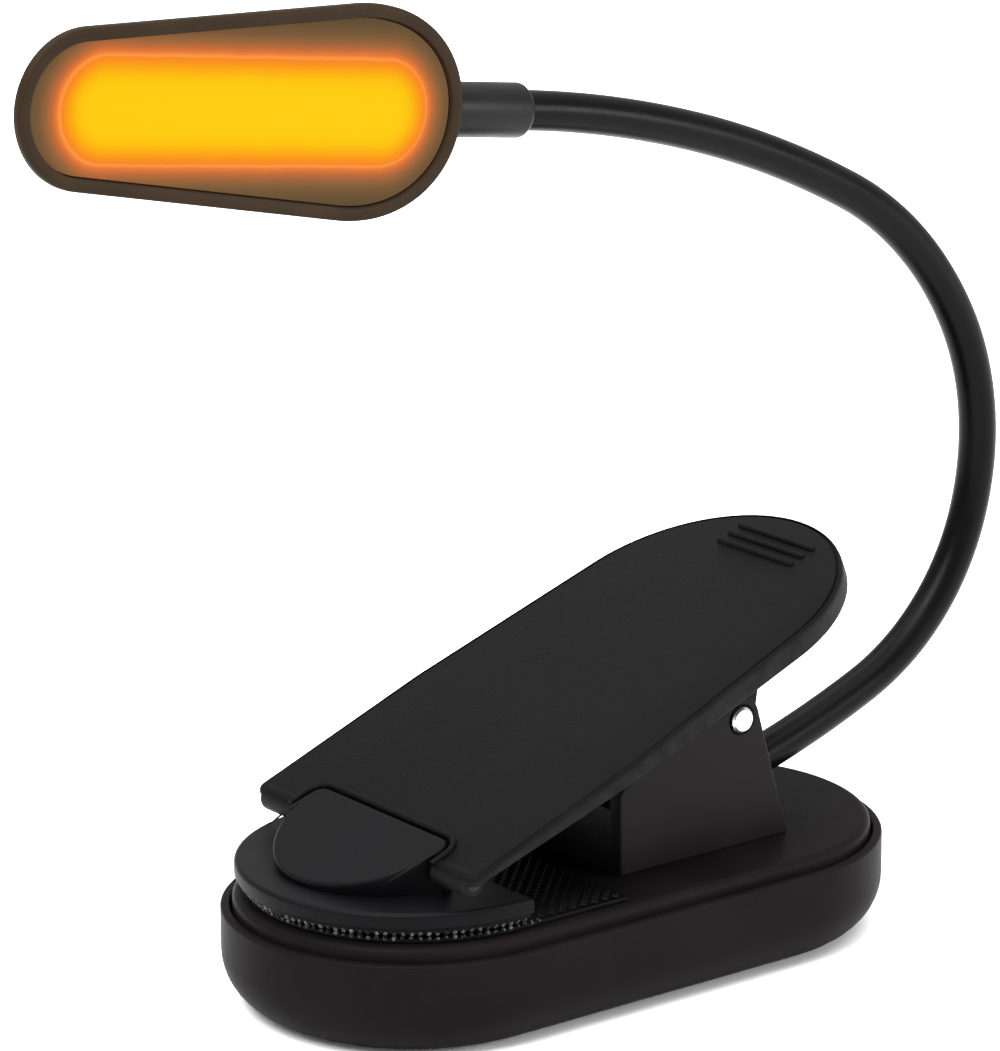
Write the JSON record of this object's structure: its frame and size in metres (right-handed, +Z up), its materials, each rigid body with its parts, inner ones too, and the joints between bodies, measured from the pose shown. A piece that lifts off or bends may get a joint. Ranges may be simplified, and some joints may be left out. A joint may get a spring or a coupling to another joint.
{
  "type": "clip-on reading lamp",
  "caption": "Clip-on reading lamp: stadium base with a sprung clip, a bendable gooseneck and a flat teardrop head with a lit amber window.",
  "frame": {"origin": "centre of the base's underside, on the surface that it stands on", "axes": "+Z up, +X along the base from the clip's jaw to the gooseneck's foot, +Y across the base, away from the lit face"},
  "size_m": [0.1373, 0.0446, 0.1162],
  "materials": {
    "black_shell": "fine satin grain",
    "black_lever": "fine matt grain",
    "rubber": "matt",
    "steel": "bright",
    "smoked_cover": "smoked, satin",
    "light_guide": "amber, lit",
    "white_plastic": "satin",
    "led": "clear",
    "cell": "foil",
    "circuit_board": "solder mask",
    "switch": "moulded",
    "wire": "flexible"
  },
  "bodies": {
    "base": {"base_housing": "black_shell", "base_cover": "black_shell", "base_screws": "steel", "lower_grip_mat": "rubber", "pivot_bracket": "black_shell", "bracket_screws": "steel", "pivot_pin": "steel", "torsion_spring": "steel", "neck_anchor": "steel", "battery_cell": "cell", "main_pcb": "circuit_board", "usb_c_socket": "steel", "power_switch": "switch", "battery_leads": "wire", "lamp_leads": "wire"},
    "button": {"power_button": "black_lever"},
    "lever": {"clip_lever": "black_lever", "jaw_pin": "steel"},
    "jaw": {"jaw_pad": "black_shell", "upper_grip_pad": "rubber"},
    "neck_1": {"neck_sleeve_1": "rubber", "neck_core_1": "steel", "neck_wires_1": "wire"},
    "neck_2": {"neck_sleeve_2": "rubber", "neck_core_2": "steel", "neck_wires_2": "wire"},
    "neck_3": {"neck_sleeve_3": "rubber", "neck_core_3": "steel", "neck_wires_3": "wire"},
    "neck_4": {"neck_sleeve_4": "rubber", "neck_core_4": "steel", "neck_wires_4": "wire"},
    "neck_5": {"neck_sleeve_5": "rubber", "neck_core_5": "steel", "neck_wires_5": "wire"},
    "neck_6": {"neck_sleeve_6": "rubber", "neck_core_6": "steel", "neck_wires_6": "wire"},
    "head": {"head_collar": "black_shell", "head_back_shell": "black_shell", "head_bezel": "black_shell", "light_cover": "smoked_cover", "light_guide": "light_guide", "reflector": "white_plastic", "led_board": "white_plastic", "leds": "led"}
  },
  "joints": [
    {"name": "clip_open", "type": "hinge", "parent": "base", "child": "lever", "pos_m": [0.0171, 0, 0.0281], "axis": [0, 1, 0], "range_deg": [0, 28], "stiffness_Nm_per_rad": 0.45, "springref_deg": -34.38, "deforming": ["torsion_spring"]},
    {"name": "jaw_level", "type": "hinge", "parent": "lever", "child": "jaw", "pos_m": [-0.02635, 0, 0.01978], "axis": [0, 1, 0], "range_deg": [-30, 2]},
    {"name": "button_press", "type": "slide", "parent": "base", "child": "button", "axis": [0, -1, 0], "range_m": [0, 0.0004], "stiffness_N_per_m": 1500, "springref_m": -0.0006},
    {"name": "neck_swing", "type": "hinge", "parent": "base", "child": "neck_1", "pos_m": [0.02444, 0, 0.01654], "axis": [0, 0, 1], "range_deg": [-45, 45]},
    {"name": "neck_bend_1", "type": "hinge", "parent": "neck_1", "child": "neck_2", "pos_m": [0.0459, 0, 0.02354], "axis": [0, 1, 0], "range_deg": [-6, 14]},
    {"name": "neck_bend_2", "type": "hinge", "parent": "neck_2", "child": "neck_3", "pos_m": [0.06217, 0, 0.0416], "axis": [0, 1, 0], "range_deg": [-6, 14]},
    {"name": "neck_bend_3", "type": "hinge", "parent": "neck_3", "child": "neck_4", "pos_m": [0.06003, 0, 0.066], "axis": [0, 1, 0], "range_deg": [-6, 14]},
    {"name": "neck_bend_4", "type": "hinge", "parent": "neck_4", "child": "neck_5", "pos_m": [0.04285, 0, 0.08379], "axis": [0, 1, 0], "range_deg": [-8, 16]},
    {"name": "neck_bend_5", "type": "hinge", "parent": "neck_5", "child": "neck_6", "pos_m": [0.01987, 0, 0.09378], "axis": [0, 1, 0], "range_deg": [-8, 16]},
    {"name": "head_turn", "type": "hinge", "parent": "neck_6", "child": "head", "pos_m": [-0.00456, 0, 0.09942], "axis": [-0.9903, 0, 0.1392], "range_deg": [-60, 60]}
  ],
  "couplings": [
    {"joint": "jaw_level", "follows": "clip_open", "ratio": -1},
    {"joint": "neck_bend_2", "follows": "neck_bend_1", "ratio": 1},
    {"joint": "neck_bend_3", "follows": "neck_bend_1", "ratio": 1},
    {"joint": "neck_bend_5", "follows": "neck_bend_4", "ratio": 1}
  ]
}
